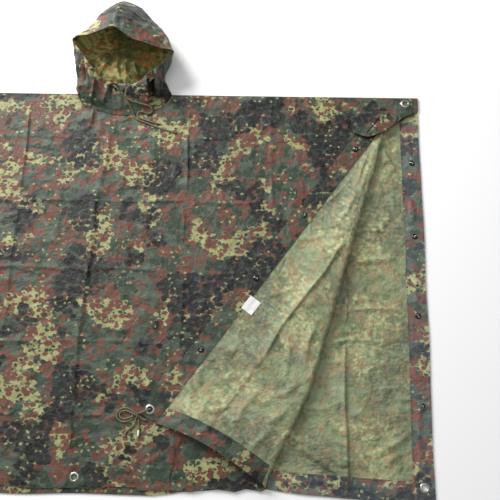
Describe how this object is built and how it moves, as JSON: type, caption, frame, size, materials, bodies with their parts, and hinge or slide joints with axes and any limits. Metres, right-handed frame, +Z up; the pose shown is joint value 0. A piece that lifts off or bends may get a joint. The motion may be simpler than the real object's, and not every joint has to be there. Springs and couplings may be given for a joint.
{
  "type": "rain poncho",
  "caption": "Hooded rain poncho laid out flat, its front's right side turned back, with snaps, eyelets, hood cords and a tied corner cord.",
  "frame": {"origin": "middle of the garment's footprint on the surface that it lies on", "axes": "+Z up from that surface, +Y from the hem towards the hood, +X across the garment towards its turned-back side"},
  "size_m": [1.53, 1.2068, 0.106],
  "materials": {
    "outer_cloth": "coated nylon with a spotted camouflage print in five colours, soft sheen",
    "inner_cloth": "coated inner side of the cloth, the print showing through, faded",
    "label_cloth": "blank pale satin weave",
    "cord": "braided",
    "eyelet_metal": "bright",
    "snap_metal": "dark, worn at the rim",
    "tip_plastic": "pale"
  },
  "bodies": {
    "root": {"back_panel": "inner_cloth", "back_side_hem": "outer_cloth", "back_bottom_hem": "outer_cloth", "front_panel": "outer_cloth", "front_side_hem": "outer_cloth", "front_bottom_hem": "outer_cloth", "front_shoulder_fold": "outer_cloth", "label": "label_cloth", "hood": "outer_cloth", "hood_casing": "outer_cloth", "eyelet_back_corner": "eyelet_metal", "eyelet_front_middle": "eyelet_metal", "eyelet_front_left": "eyelet_metal", "eyelet_shoulder_right": "eyelet_metal", "eyelet_shoulder_left": "eyelet_metal", "eyelet_front_corner": "eyelet_metal", "cord_eyelet_left": "eyelet_metal", "cord_eyelet_right": "eyelet_metal", "snap_back_1": "snap_metal", "snap_back_2": "snap_metal", "snap_back_3": "snap_metal", "snap_back_4": "snap_metal", "snap_left_1": "snap_metal", "snap_left_2": "snap_metal", "snap_left_3": "snap_metal", "snap_left_4": "snap_metal", "snap_front_1": "snap_metal", "snap_front_2": "snap_metal", "snap_front_3": "snap_metal", "snap_front_4": "snap_metal", "hood_cord_left": "cord", "hood_cord_right": "cord", "tie_neck": "cord", "tie_wrap": "cord", "tie_loop_outer": "cord", "tie_loop_inner": "cord", "tie_end_plain": "cord", "tie_end_tipped": "cord", "tie_knot": "cord", "tie_tip": "tip_plastic"}
  },
  "joints": []
}
